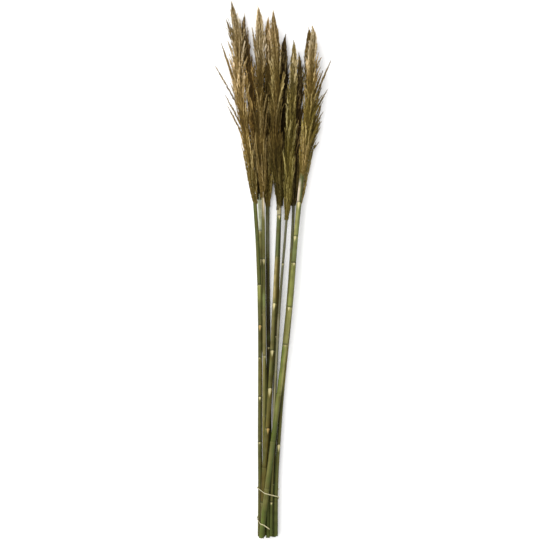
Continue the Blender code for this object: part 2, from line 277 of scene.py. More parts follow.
plumeFinish = {  # slot: colours from the heart's painted shade to the palest tips
    "tan_plume": dict(
        tones=((0.0, (50, 36, 14)), (0.35, (108, 87, 46)), (0.65, (158, 134, 86)), (1.0, (214, 192, 144))),
        green=(120, 112, 56), roughness=0.80),
    # for the lowest plumes, darker partly as painted shade under those above
    "dark_plume": dict(
        tones=((0.0, (26, 18, 7)), (0.40, (60, 46, 24)), (0.70, (102, 84, 50)), (1.0, (160, 142, 100))),
        green=(86, 80, 38), roughness=0.82),
    "grey_plume": dict(
        tones=((0.0, (42, 32, 10)), (0.35, (100, 86, 44)), (0.65, (150, 132, 82)), (1.0, (208, 190, 142))),
        green=(116, 106, 50), roughness=0.82),
}

plumeSurface = dict(
    grain=(700.0, 90.0, 28.0),
    patches=((0.30, 0.74), (0.70, 1.22)),  # shades of the blotches
    flecks=((0.30, 0.72), (0.70, 1.25)),  # and of the streaks
    specular=0.08,
)


def makePlumeMaterial(slot):
    look = plumeFinish[slot]
    material, tree, shader = newMaterial(slot)
    tone = addNode(tree, "ShaderNodeSeparateColor", {"Color": readAttribute(tree, "tone")})
    place = addNode(tree, "ShaderNodeTexCoord", {})["Object"]
    streak, blotch = addGrain(tree, place, plumeSurface["grain"])
    colour = addTones(tree, tone["Red"], look["tones"])
    colour = mixColours(tree, "MIX", tone["Green"], colour, (*toLinear(look["green"]), 1.0))
    # the last layer is the height's multiplier: own tint and painted light and shade
    for layer in (
            addShades(tree, blotch, plumeSurface["patches"]),
            addShades(tree, streak, plumeSurface["flecks"]),
            readAttribute(tree, "wash")):
        colour = mixColours(tree, "MULTIPLY", 1.0, colour, layer)
    feedNode(tree, shader, {
        "Base Color": colour,
        "Roughness": look["roughness"],
        "Specular IOR Level": plumeSurface["specular"],
    })
    return material


raffiaFinish = dict(
    grain=(3800.0, 60.0, 90.0),
    tones=((0.30, (166, 148, 96)), (0.50, (214, 202, 156)), (0.72, (236, 230, 200))),
    green=(176, 184, 132),
    patches=((0.45, 0.0), (0.70, 0.5)),  # how far the blotches go to green
    roughness=0.62,
    bump=0.5,
)


def makeRaffiaMaterial():
    look = raffiaFinish
    material, tree, shader = newMaterial("raffia")
    streak, blotch = addGrain(tree, readAttribute(tree, "grain", "Vector"), look["grain"])
    patch = addShades(tree, blotch, look["patches"])
    colour = addTones(tree, streak, look["tones"])
    feedNode(tree, shader, {
        "Base Color": mixColours(tree, "MIX", patch, colour, (*toLinear(look["green"]), 1.0)),
        "Roughness": look["roughness"],
        "Normal": addBump(tree, streak, look["bump"]),
    })
    return material


materials = {slot: makeStemMaterial(slot) for slot in stemFinish}
materials.update({slot: makePlumeMaterial(slot) for slot in plumeFinish})
materials["raffia"] = makeRaffiaMaterial()
print("materials made:", len(materials))


def placePiece(name, mesh, slot, node):  # a mesh at the origin that stands for a CAD node
    piece = addObject(name, mesh)
    mesh.materials.append(materials[slot])
    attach(piece, "root")
    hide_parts(node)


def paintPoints(mesh, name, colours):  # three rows, with one value in each for each point
    layer = mesh.attributes.new(name, "FLOAT_COLOR", "POINT")
    rows = np.stack([*colours, np.ones(len(mesh.vertices))], axis=-1)
    layer.data.foreach_set("color", np.asarray(rows, np.float32).ravel())


tints = {  # colours of the canes as they look on a screen
    "fresh": (100, 112, 46), "leaf": (80, 88, 42), "reed": (118, 124, 74),
    "yellowGreen": (134, 137, 72), "lime": (146, 149, 80), "sage": (104, 108, 70), "deep": (66, 64, 26),
    "olive": (99, 97, 52), "khaki": (118, 115, 62), "wheat": (136, 128, 80), "ochre": (124, 114, 58),
    "brown": (86, 74, 30), "golden": (182, 166, 112), "chaff": (160, 156, 94), "dusky": (44, 37, 12),
    "slate": (104, 102, 78), "straw": (180, 170, 130), "bone": (206, 202, 164),
    "blush": (238, 218, 192), "ash": (156, 150, 120), "mint": (226, 232, 196), "cream": (206, 194, 142),
    "amber": (190, 158, 96), "pith": (200, 188, 146), "hollow": (36, 30, 18),
}

stemSizes = dict(
    sides=16,
    run=0.006,  # between two rings where the cane is plain
    jointSteps=(-0.0045, -0.0028, -0.0016, -0.0008, 0.0, 0.0008, 0.0016, 0.0028, 0.0045),
    clearRun=0.0055,  # between a joint and the nearest plain ring
    bendReach=0.012,  # the bend is smoothed over this much each way
    bendSteps=7,
    leanReach=0.004,
    girth=1.025,  # the cane, against the CAD's corners
    ridge=0.07,  # a joint stands this much proud
    ridgeHalf=0.0010,
    waist=0.03,  # and the cane is this much slimmer above it
    waistAt=0.0036,
    waistHalf=0.0022,
    # the hollow tint, near black at the bottom of the bore, is painted shade
    foot=((0.97, 0.0, "pith"), (0.55, 0.0, "pith"), (0.517, 0.014, "hollow")),  # width, depth and tint
    collar=0.004,  # the top of the cane stands this far into the plume
    sharpAngle=55,
    # a cane's left and right tints are partly its own colours and partly painted light and shade by side
    sideBlend=0.85,  # how sharply a cane's left tint gives way to its right one
    secondTints=("olive", "brown", "deep", "leaf"),
    creamRing=0.0007,  # half the length of the pale ring at a joint
    ringCream=0.60,  # and how pale it is
    creamRun=0.006,  # length below a joint that pales towards it
    runCream=0.30,
    darkRun=0.0035,  # length above a joint that is darker
    darkening=0.28,
    sharpChange=0.0004,  # length over which tints change at a joint with a scar in front
    softChange=0.0140,  # and elsewhere
    hiddenJoint=0.30,  # how strongly a joint whose scar is behind is marked
)

# tint of each length from the foot up, its left side / its right side where they differ, the two sides
# partly the cane's own colours and partly painted light and shade; a length ends at a joint or at one
# of the changes, which are heights above the cut; for each joint the scar's turn, size and tint
canes = {
    1: dict(slot="olive_stem", changes=(0.4255,),
            tints="olive/brown olive/deep olive/deep khaki/brown olive/deep olive lime olive/leaf "
                  "leaf/olive",
            scars=((200, 0.0), (95, 0.3), (95, 0.6), (110, 0.25), (85, 1.0, "amber"), (60, 0.2),
                   (270, 0.4))),
    # stem 2's chaff and mint lengths at the top are brightened against the shade stem 1 casts: painted light
    2: dict(slot="olive_stem",
            tints="leaf deep/olive olive olive/khaki chaff chaff mint",
            scars=((270, 0.7), (90, 0.5), (270, 0.7), (80, 0.5), (85, 1.0), (90, 0.4))),
    3: dict(slot="olive_stem", changes=(0.4386, 0.5718),
            tints="olive ochre/olive wheat/khaki wheat reed deep/olive olive/khaki wheat/blush",
            scars=((90, 0.5), (270, 0.5), (60, 0.4), (270, 0.7), (80, 1.0))),
    # stem 4's dusky, near-black lengths are partly painted shade, as it lies low between its neighbours
    4: dict(slot="brown_stem", changes=(0.5735,),
            tints="leaf deep dusky dusky dusky/deep slate deep/slate",
            scars=((90, 0.4), (270, 0.7), (90, 0.4), (270, 0.7), (270, 0.4))),
    5: dict(slot="brown_stem",
            tints="olive brown/ochre olive/brown ochre/brown khaki/deep wheat/deep golden/brown "
                  "sage/leaf straw",
            scars=((60, 0.5), (300, 0.6), (75, 1.0, "amber"), (105, 1.5), (95, 1.1), (110, 1.3), (280, 0.6),
                   (80, 0.7))),
    6: dict(slot="olive_stem",
            tints="leaf deep/olive olive olive brown olive",
            scars=((270, 0.6), (60, 0.7), (270, 0.6), (90, 0.6), (270, 0.7))),
    7: dict(slot="pale_stem",
            tints="leaf olive ash/olive ash/slate slate slate",
            scars=((90, 0.4), (270, 0.6), (270, 0.4), (270, 0.6), (90, 0.3))),
    8: dict(slot="brown_stem",
            tints="leaf leaf/deep olive khaki/olive khaki/olive slate",
            scars=((90, 0.6), (270, 0.6), (90, 0.6), (270, 0.6), (270, 0.5))),
    9: dict(slot="green_stem", changes=(0.0544, 0.208, 0.636),
            tints="fresh/leaf khaki/olive khaki/leaf fresh/leaf yellowGreen/olive fresh/chaff "
                  "khaki/chaff lime/yellowGreen reed chaff/reed blush/leaf sage/leaf",
            scars=((270, 0.5), (270, 0.5), (250, 0.6), (80, 0.4, "golden"), (100, 0.6), (90, 0.5),
                   (105, 0.9), (95, 1.3))),
    10: dict(slot="olive_stem",
             tints="leaf leaf/olive deep/olive yellowGreen/ochre khaki olive olive",
             scars=((270, 0.5), (80, 1.2), (270, 0.7), (90, 0.6), (270, 0.7), (90, 0.6))),
}

scarSizes = dict(  # the pale tongue that a leaf sheath left under each joint
    rows=10,
    columns=10,
    length=0.0120,  # from the joint down to its point
    width=0.0042,
    topWidth=1.25,  # share of its width that it loses from its top to its point
    tipWidth=0.05,  # and the share that is left there
    narrowing=0.8,  # below 1, mostly near the point
    rounding=2.5,  # how fast its ends reach that width
    height=0.00040,  # how proud it stands
    flattening=0.6,  # how much less so at the point
    rise=0.0016,  # how far its top edge stands above the joint
    leastRound=1e-6,  # keeps its two ends from a division by nothing
    wander=8,  # degrees
    fadeFrom=0.30,  # share of its length from which it takes on the cane's tint
    fadeRate=1.5,
    fadeMost=0.75,
)


def stemRadius(stem, along):
    radius = stemSizes["girth"] * float(np.polyval(stem["taper"], along))
    for joint in stem["joints"]:
        above = along - joint
        ridge = stemSizes["ridge"] * math.exp(-(above / stemSizes["ridgeHalf"]) ** 2)
        waist = math.exp(-((above - stemSizes["waistAt"]) / stemSizes["waistHalf"]) ** 2)
        radius *= 1.0 + ridge - stemSizes["waist"] * waist
    return radius


def stemSections(stem):  # places of a stem's rings, closer together at the joints
    joints = stem["joints"]
    low = stem["middles"][0, 1]
    high = stem["middles"][-1, 1] + stemSizes["collar"]
    near = [joint + step for joint in joints for step in stemSizes["jointSteps"]]
    plain = [
        place for place in np.arange(low, high, stemSizes["run"])
        if all(abs(place - joint) > stemSizes["clearRun"] for joint in joints)
    ]
    return sorted([*near, *plain, high])


def smoothMiddle(stem, along):  # the cane bends smoothly where the CAD has a ring
    middles = stem["middles"]
    reach = stemSizes["bendReach"]
    low, high = middles[0, 1], middles[-1, 1]
    if low + reach <= along <= high - reach:
        near = np.clip(along + np.linspace(-reach, reach, stemSizes["bendSteps"]), low, high)
        point = np.mean([stemMiddle(stem, place) for place in near], axis=0)
    else:
        lean = (middles[-1] - middles[-2]) / (high - middles[-2, 1])
        point = stemMiddle(stem, limit(along, low, high)) + lean * max(0.0, along - high)
    point[1] = along
    return Vector(point)


def ringMatrix(stem, along):  # where a unit circle becomes a ring of the cane
    reach = stemSizes["leanReach"]
    ahead = smoothMiddle(stem, along + reach) - smoothMiddle(stem, along - reach)
    turn = ahead.to_track_quat("Z", "X").to_matrix().to_4x4()
    across = turn.to_3x3() @ Vector((1.0, 0.0, 0.0))
    turn = turn @ Matrix.Rotation(math.atan2(across.z, across.x), 4, "Z")
    return Matrix.Translation(smoothMiddle(stem, along)) @ turn @ Matrix.Scale(stemRadius(stem, along), 4)


def tintOf(name):
    return np.array(tints[name], float)


def makeStem(number):
    cane = canes[number]
    lengths = cane["tints"].split()
    stem = readStem(f"stem_{number:02d}")
    joints = stem["joints"]
    sections = stemSections(stem)
    foot = sections[0]
    chance = random.Random(100 + number)
    offset = Vector((0.37 * number, 0.0, 0.61 * number))  # so that no two canes have the same grain
    hidden = [math.sin(math.radians(turn)) < 0.0 or not size for turn, size, *tint in cane["scars"]]
    ends = [
        (joint, stemSizes["softChange" if behind else "sharpChange"])
        for joint, behind in zip(joints, hidden)]
    ends += [(foot + height, stemSizes["softChange"]) for height in cane.get("changes", ())]
    shape = bmesh.new()
    grainLayer = shape.verts.layers.float_vector.new("grain")
    tintLayer = shape.verts.layers.float_color.new("tint")
    secondLayer = shape.verts.layers.float_color.new("secondTint")

    def paintPoint(point, out, along, tint, second):
        point[grainLayer] = Vector((out.x, along, out.z)) + offset
        point[tintLayer] = (*toLinear(tint), 1.0)
        point[secondLayer] = (*toLinear(second), 1.0)

    def paintRing(loop, along, left, right, second):
        middle = smoothMiddle(stem, along)
        for point in loop:
            out = point.co - middle
            # the side across the bunch blends the left and right tints: partly painted side light and shade
            side = limit(0.5 + stemSizes["sideBlend"] * out.x / out.length)
            paintPoint(point, out, along, left + side * (right - left), second)

    def lengthTints(length):  # left and right tint of one length, partly painted side light and shade
        names = lengths[length].split("/")
        return np.array([tintOf(names[0]), tintOf(names[-1])])

    def ringTints(along):  # left, right and second tint
        nearest = min(range(len(joints)), key=lambda joint: abs(along - joints[joint]))
        above = along - joints[nearest]
        strength = stemSizes["hiddenJoint"] if hidden[nearest] else 1.0
        passed = sum(limit((along - end) / run + 0.5) for end, run in ends)
        length = min(int(passed), len(lengths) - 2)
        sides = lengthTints(length)
        sides = sides + (passed - length) * (lengthTints(length + 1) - sides)
        second = tintOf(chance.choice(stemSizes["secondTints"]))
        share = 0.0
        if abs(above) < stemSizes["creamRing"]:
            share = stemSizes["ringCream"]
        elif -stemSizes["creamRun"] < above < 0:
            share = stemSizes["runCream"] * (1 + above / stemSizes["creamRun"])
        sides = sides + strength * share * (tintOf("cream") - sides)
        if 0 < above < stemSizes["darkRun"] and not share:
            sides = sides * (1.0 - stemSizes["darkening"] * strength)
        return (*sides, second)

    places = [ringMatrix(stem, along) for along in sections]
    loop, edges = startLoop(shape, stemSizes["sides"], places[0])
    for loop, along in zip([loop, *sweepLoop(shape, edges, places)], sections):
        paintRing(loop, along, *ringTints(along))
    hollow = [  # the cut foot: a pale rim, then the hollow, its tint darkening with depth as painted shade
        ringMatrix(stem, foot + depth) @ Matrix.Scale(share, 4) for share, depth, tint in stemSizes["foot"]]
    loops = sweepLoop(shape, edges, [places[0], *hollow])
    for loop, (share, depth, tint) in zip(loops, stemSizes["foot"]):
        paintRing(loop, foot + depth, *[tintOf(tint)] * 3)
    for joint, (turn, size, *tint) in zip(joints, cane["scars"]):
        if size > 0.0:
            pale = tintOf(tint[0] if tint else "cream")
            left, right, second = ringTints(joint - 2 * stemSizes["creamRun"])
            turn += chance.uniform(-scarSizes["wander"], scarSizes["wander"])
            for point in makeScar(shape, stem, joint, math.radians(turn), size):
                drop = (joint - point.co.y) / (scarSizes["length"] * size)
                fade = scarSizes["fadeRate"] * (drop - scarSizes["fadeFrom"])
                tone = pale + limit(fade, 0.0, scarSizes["fadeMost"]) * (0.5 * (left + right) - pale)
                paintPoint(point, point.co - smoothMiddle(stem, point.co.y), point.co.y, tone, tone)
    bmesh.ops.recalc_face_normals(shape, faces=shape.faces)
    name = f"reed_stem_{number:02d}"
    mesh = meshOf(shape, name)
    mesh.shade_smooth()
    mesh.set_sharp_from_angle(angle=math.radians(stemSizes["sharpAngle"]))
    placePiece(name, mesh, cane["slot"], f"stem_{number:02d}")
    return stem


def makeScar(shape, stem, joint, turn, size):
    points = bmesh.ops.create_uvsphere(
        shape, u_segments=scarSizes["rows"], v_segments=scarSizes["columns"], radius=1.0)["verts"]
    for point in points:
        drop = 0.5 * (1.0 - point.co.z)  # 0 at the top edge, 1 at the point
        along = joint + scarSizes["rise"] * size - scarSizes["length"] * size * drop
        full = math.sqrt(max(scarSizes["leastRound"], 1.0 - point.co.z ** 2))
        taper = (1.0 - drop) ** scarSizes["narrowing"] * scarSizes["topWidth"] + scarSizes["tipWidth"]
        rounded = point.co.x / full * min(1.0, scarSizes["rounding"] * full)
        wide = 0.5 * scarSizes["width"] * size ** 0.5 * taper * rounded
        radius = stemRadius(stem, along)
        proud = scarSizes["height"] * point.co.y * (1.0 - scarSizes["flattening"] * drop)
        point.co = smoothMiddle(stem, along) + (radius + proud) * Vector(outward(turn + wide / radius))
    return points


stems = {number: makeStem(number) for number in canes}
print("stems made:", len(stems))


plumeShape = (  # share of the length, share of the full radius
    (0.00, 0.34), (0.08, 0.60), (0.22, 0.88), (0.40, 1.00), (0.62, 0.98), (0.78, 0.90), (0.88, 0.72),
    (0.95, 0.36), (1.00, 0.03),
)

plumeSizes = dict(
    radius=0.0130,  # of a plume whose fullness is 1
    slimming=(0.62, 0.88),  # share of the length over which a plume with a slim tip narrows
    slices=26,  # places along the solid at which its middle is read
    endWeight=12.0,  # how closely the middle keeps to the plume's two ends
    bends=(6, 4),  # degree of the curves that it follows, across and up
    branchPoints=11,
    climbStart=0.25,  # how far out a branch begins, as a share of its place in the plume
    climbSweep=0.6,  # below 1, a branch leaves the middle early; above 1, it leaves late
    flareSweep=4,  # the higher, the later a tip turns out
    looseness=(0.55, 1.00),  # how loosely husks sit on their branch, at the foot and near the top
    lastRoot=0.80,  # share of the length past which only the tip's branches begin
    greening=(0.3, 1.5),  # how green a branch is, as a share of its plume's green
    ungreened=(1.15, 1.1),  # that share at the plume's foot, and how far it falls by its tip
    stalkRadius=0.00036,
    stalkTip=0.35,  # width of a branch's tip, as a share of its foot's
    clearStalk=1.6,  # how much thicker the branches that stand clear are
    stalkTone=0.40,
    floorGap=0.0003,  # nothing goes lower than this
)

tintAndLightPlaces = (0.10, 0.38, 0.66, 0.88)  # shares of the length where its tint and light are given

tintAndLightScales = {  # multipliers of a plume's colours: its own tint and painted light and shade
    "golden": (1.2, 1.1, 0.9), "sand": (1.35, 1.35, 1.5), "straw": (1.6, 1.6, 1.6),
    "drab": (1.0, 1.0, 0.8), "moss": (0.9, 0.9, 0.6), "umber": (0.75, 0.7, 0.55),
    "shade": (0.6, 0.55, 0.4), "deep": (0.4, 0.4, 0.25), "russet": (2.5, 2.2, 1.6),
    "pearl": (1.9, 1.9, 2.2), "flax": (1.3, 1.4, 1.8), "chalk": (1.8, 1.95, 2.7),
}

# tint-and-light scales go from the foot to the tip; a fringe has its side in degrees, its count, its
# lowest and its highest root; a stray branch has its root, its tip across and along the bunch, and its girth
plumes = {
    1: dict(slot="tan_plume", fullness=1.0, green=0.25, wash="drab golden pearl flax",
            fringes=((180, 12, 0.44, 0.8), (0, 6, 0.4, 0.75)),
            strays=((0.4, -0.1028, 0.3625, 0.9), (0.44, -0.0912, 0.4005, 1.8), (0.3, -0.0838, 0.3085, 0.9),
                    (0.24, -0.0792, 0.2885, 0.9), (0.7, -0.0822, 0.4425, 1.4), (0.6, -0.0572, 0.4425, 1.6))),
    2: dict(slot="dark_plume", fullness=1.15, green=0.25, wash="drab russet russet pearl",
            slimTip=0.65, heartFill=(0.35, 0.95)),
    3: dict(slot="tan_plume", fullness=0.96, green=0.3, wash="umber umber shade chalk",
            strays=((0.56, -0.0368, 0.4285, 1.5),)),
    4: dict(slot="tan_plume", fullness=1.08, green=0.2, wash="moss shade drab pearl",
            slimTip=0.7, heartFill=(0.35, 0.95)),
    5: dict(slot="tan_plume", fullness=0.98, green=0.35, wash="deep shade drab sand",
            strays=((0.58, 0.009, 0.4255, 1.4),)),
    6: dict(slot="dark_plume", fullness=1.12, green=0.15, wash="umber shade shade umber",
            slimTip=0.7, heartFill=(0.35, 0.95)),
    7: dict(slot="grey_plume", fullness=0.8, green=0.3, wash="moss moss drab sand"),
    8: dict(slot="dark_plume", fullness=1.1, green=0.2, wash="drab golden golden straw",
            slimTip=0.35, heartFill=(0.35, 0.95),
            fringes=((0, 7, 0.6, 0.78),)),
    9: dict(slot="tan_plume", fullness=0.92, green=0.5, wash="golden moss golden chalk",
            fringes=((0, 9, 0.3, 0.66),),
            strays=((0.36, 0.1028, 0.3715, 0.9), (0.3, 0.0952, 0.3175, 0.9), (0.42, 0.0872, 0.3505, 1.0),
                    (0.1, 0.0812, 0.2605, 1.5))),
    10: dict(slot="tan_plume", fullness=1.06, green=0.5, wash="drab drab drab umber",
             heartFill=(0.35, 0.95),
             fringes=((0, 8, 0.2, 0.55),),
             strays=((0.22, 0.0838, 0.3205, 1.6), (0.12, 0.0842, 0.2855, 1.5))),
}


def plumeAxis(number):  # a function that gives a plume's middle, and the points of its CAD node
    points, edges = readNode(f"plume_{number:02d}")
    tip = points[points[:, 1].argmax()]
    foot = stems[number]["middles"][-1]
    rows = [foot]
    for height in np.linspace(foot[1], tip[1], plumeSizes["slices"])[1:-2]:
        rows.append(np.median(sliceNode(points, edges, height), axis=0))
    rows = np.array([*rows, tip])
    share = (rows[:, 1] - foot[1]) / (tip[1] - foot[1])
    weight = np.ones(len(rows))
    weight[[0, -1]] = plumeSizes["endWeight"]
    across, up = [
        np.polyfit(share, rows[:, side], degree, w=weight)
        for side, degree in zip((0, 2), plumeSizes["bends"])]

    def axis(at):
        at = np.asarray(at, float)
        along = foot[1] + at * (tip[1] - foot[1])
        return np.stack([np.polyval(across, at), along, np.polyval(up, at)], axis=-1)
    return axis, points


def sliceNode(points, edges, along):  # where a node's edges cross a plane across the bunch
    ends = points[edges]
    first, second = ends[:, 0], ends[:, 1]
    crossing = (first[:, 1] - along) * (second[:, 1] - along) < 0
    first, second = first[crossing], second[crossing]
    part = (along - first[:, 1]) / (second[:, 1] - first[:, 1])
    return first + part[:, None] * (second - first)


def plumeReach(look, share):  # the radius that a plume fills
    places, radii = zip(*plumeShape)
    slim = np.interp(share, plumeSizes["slimming"], (1.0, look.get("slimTip", 1.0)))
    return plumeSizes["radius"] * look["fullness"] * slim * np.interp(share, places, radii)


def growBranch(axis, look, root, end, angle, fill, lean=0.0, flare=0.0, sweep=plumeSizes["climbSweep"],
               climbStart=plumeSizes["climbStart"]):
    part = np.linspace(0.0, 1.0, plumeSizes["branchPoints"])
    share = root + (end - root) * part
    climb = climbStart + (1.0 - climbStart) * part ** sweep
    out = plumeReach(look, np.clip(share, 0.0, 1.0)) * fill * climb
    out += flare * part ** plumeSizes["flareSweep"]
    return axis(share) + out[:, None] * outward(angle + lean * part)


# below, roots, ends and spans are shares of the plume's length; fill is how far out a branch stands, as a
# share of the plume's radius; lean is how far it turns round the plume, in radians; flare is how far its
# tip stands out; start is the share of it that stays bare; and tones go from dark, 0, to pale, 1
skirtSizes = dict(  # branches that hug the top of the cane
    count=22, wander=(-0.3, 0.3), root=-0.02, ends=(0.12, 0.34), fill=(0.85, 1.0), lean=0.15,
    climbStart=0.9, girths=(0.8, 1.1), tones=(0.15, 0.9),
)

heartSizes = dict(  # branches that close the inside of the plume, dark as painted shade
    count=40, spans=(0.22, 0.34), lastEnd=0.98, fill=(0.35, 0.84), lean=0.2, girth=1.15, tones=(0.0, 0.26),
    climb=0.25,  # how much lighter the heart's painted shade is at the top than at the foot
)

tuftSizes = dict(  # the strands that show, in groups that part towards their tips
    count=46,
    branches=1.8,  # in each, on average
    spans=(0.25, 0.15),  # at the foot and near the top
    stretch=(0.85, 1.15), lastEnd=0.985, rootWander=(-0.02, 0.02), endWander=(0.0, 0.07), turnWander=0.20,
    lean=0.45, fill=(0.80, 1.0), fillWander=(0.85, 1.05), sweeps=(0.60, 1.40),
    flaring=0.50,  # share of the tufts whose tips stand out
    flare=0.0030, flareWander=(0.3, 1.0), girths=(0.75, 1.15), start=0.06,
    tones=(0.24, 0.40, 0.52, 0.64, 0.76, 0.88, 1.00), toneWander=0.08,
    evenTone=0.60,  # the tone that the tufts near the tip keep to
    evenShare=0.50,  # and how closely
)

leaderSizes = dict(  # branches that make the pointed tip
    count=12, roots=(0.55, 0.86), ends=(0.93, 1.005), fill=(0.2, 0.9), lean=0.3, flare=(0.0, 0.0030),
    girth=0.8, tones=(0.3, 0.7),
)

fringeSizes = dict(  # upswept branches along an edge, whose tips stand clear
    wander=(-0.3, 0.3), span=0.15, stretch=(0.8, 1.2), lastEnd=0.98, turnWander=0.30, fill=(0.95, 1.10),
    flare=0.0055, flareWander=(0.4, 1.2), sweep=1.1, girth=0.70, tones=(0.28, 0.55),
    density=2.2,  # husks on one, against those on another branch of its length
)

straySizes = dict(  # branches that stand far out, each to a tip of the CAD node
    bend=1.15, tones=(0.15, 0.35), start=0.05, density=3.2,
)


def drawFrom(sizes, chance):  # draws a number within one of the pairs of the sizes, by name
    return lambda name: chance.uniform(*sizes[name])


def growSkirt(axis, look, chance, sizes=skirtSizes):
    draw = drawFrom(sizes, chance)
    for one in range(sizes["count"]):
        angle = 2 * math.pi * (one + draw("wander")) / sizes["count"]
        end = draw("ends")
        path = growBranch(
            axis, look, sizes["root"], end, angle, draw("fill"), chance.gauss(0.0, sizes["lean"]),
            climbStart=sizes["climbStart"])
        yield dict(path=path, girth=draw("girths"), tone=draw("tones"), loose=plumeSizes["looseness"][0])


def growHeart(axis, look, chance, sizes=heartSizes):
    draw = drawFrom({**sizes, "fill": look.get("heartFill", sizes["fill"])}, chance)
    for one in range(sizes["count"]):
        level = one / (sizes["count"] - 1)
        root = level * plumeSizes["lastRoot"]
        end = min(sizes["lastEnd"], root + draw("spans"))
        path = growBranch(axis, look, root, end, one * goldenAngle, draw("fill"), sizes["lean"])
        # the heart's dark tones are painted shade, lighter towards the top
        yield dict(path=path, girth=sizes["girth"], tone=draw("tones") + sizes["climb"] * level)


def growTufts(axis, look, chance, sizes=tuftSizes):
    draw = drawFrom(sizes, chance)
    low, high = sizes["spans"]
    angle = chance.uniform(0.0, 2.0 * math.pi)
    for tuft in range(sizes["count"]):
        level = tuft / (sizes["count"] - 1)
        root = plumeSizes["lastRoot"] * level
        angle += goldenAngle
        end = min(sizes["lastEnd"], root + (low + (high - low) * level) * draw("stretch"))
        fill = draw("fill")
        tone = chance.choice(sizes["tones"])
        tone += sizes["evenShare"] * level * (sizes["evenTone"] - tone)
        flare = sizes["flare"] * (chance.random() < sizes["flaring"])
        sweep = draw("sweeps")
        for one in range(int(sizes["branches"] + chance.random())):
            path = growBranch(
                axis, look, root + draw("rootWander"), end - draw("endWander"),
                angle + chance.gauss(0.0, sizes["turnWander"]), fill * draw("fillWander"),
                chance.gauss(0.0, sizes["lean"]), flare=flare * draw("flareWander"), sweep=sweep)
            yield dict(
                path=path, girth=draw("girths"), tone=tone + chance.gauss(0.0, sizes["toneWander"]),
                start=sizes["start"], loose=np.interp(level, (0.0, 1.0), plumeSizes["looseness"]))


def growLeaders(axis, look, chance, sizes=leaderSizes):
    draw = drawFrom(sizes, chance)
    low, high = sizes["ends"]
    for leader in range(sizes["count"]):
        level = leader / (sizes["count"] - 1)
        path = growBranch(
            axis, look, draw("roots"), min(1.0, low + (high - low) * level), chance.uniform(*anyAngle),
            draw("fill"), sizes["lean"], flare=draw("flare") * (1.0 - level))
        yield dict(path=path, girth=sizes["girth"], tone=draw("tones"))


def growFringes(axis, look, chance, sizes=fringeSizes):
    draw = drawFrom(sizes, chance)
    for side, count, low, high in look.get("fringes", ()):
        for one in range(count):
            root = low + (high - low) * (one + draw("wander")) / count
            end = min(sizes["lastEnd"], root + sizes["span"] * draw("stretch"))
            angle = math.radians(side) + chance.gauss(0.0, sizes["turnWander"])
            path = growBranch(
                axis, look, root, end, angle, draw("fill"), flare=sizes["flare"] * draw("flareWander"),
                sweep=sizes["sweep"])
            yield dict(path=path, girth=sizes["girth"], tone=draw("tones"), density=sizes["density"])


def growStrays(axis, look, chance, cadPoints, sizes=straySizes):
    draw = drawFrom(sizes, chance)
    part = np.linspace(0.0, 1.0, plumeSizes["branchPoints"])[:, None]
    for root, across, along, girth in look.get("strays", ()):
        nearest = np.linalg.norm(cadPoints[:, :2] - (across, along), axis=1).argmin()
        foot, tip = axis(root), cadPoints[nearest]
        path = foot + (tip - foot) * part
        path[:, 0] = foot[0] + (tip[0] - foot[0]) * part[:, 0] ** sizes["bend"]
        yield dict(
            path=path, girth=girth, tone=draw("tones"), start=sizes["start"], density=sizes["density"])


def growBranches(axis, look, chance, cadPoints):
    branches = []
    for grow in (growSkirt, growHeart, growTufts, growLeaders, growFringes):
        branches += grow(axis, look, chance)
    branches += growStrays(axis, look, chance, cadPoints)
    for branch in branches:
        branch["green"] = chance.uniform(*plumeSizes["greening"])
    return branches


def templateOf(shape):  # the points and triangles of a shape, which is freed
    bmesh.ops.remove_doubles(shape, verts=shape.verts, dist=mergeDistance)
    bmesh.ops.triangulate(shape, faces=shape.faces)
    bmesh.ops.recalc_face_normals(shape, faces=shape.faces)
    shape.verts.index_update()
    points = np.array([vertex.co for vertex in shape.verts])
    faces = np.array([[vertex.index for vertex in face.verts] for face in shape.faces])
    shape.free()
    return points, faces


def makeSliver(cones, closed):  # slim cones with three sides, each from its base to its point
    shape = bmesh.new()
    for base, point in cones:
        place = Matrix.Translation((0.0, 0.0, 0.5 * (base + point)))
        bmesh.ops.create_cone(
            shape, cap_ends=closed, segments=3, radius1=1.0, radius2=0.0, depth=1.0,
            matrix=place @ Matrix.Diagonal((1.0, 1.0, point - base, 1.0)))
    return templateOf(shape)


huskShape = makeSliver(((0.34, 1.0), (0.34, 0.0)), closed=False)  # widest at a third of its length
hairShape = makeSliver(((0.0, 1.0),), closed=True)
askew = np.array([0.31, 0.17, 0.93])  # a direction that no husk points in


def unit(rows):
    return rows / np.linalg.norm(rows, axis=-1, keepdims=True)


def repeatShape(template, roots, aims, lengths, widths, rolls):
    points, faces = template
    aims = unit(aims)
    side = unit(np.cross(aims, askew))
    other = np.cross(aims, side)
    first = side * np.cos(rolls)[:, None] + other * np.sin(rolls)[:, None]
    second = np.cross(aims, first)
    placed = (roots[:, None]
              + points[None, :, 0:1] * (widths[:, None] * first)[:, None]
              + points[None, :, 1:2] * (widths[:, None] * second)[:, None]
              + points[None, :, 2:3] * (lengths[:, None] * aims)[:, None])
    joined = faces[None] + (np.arange(len(roots)) * len(points))[:, None, None]
    return placed.reshape(-1, 3), joined.reshape(-1, 3)


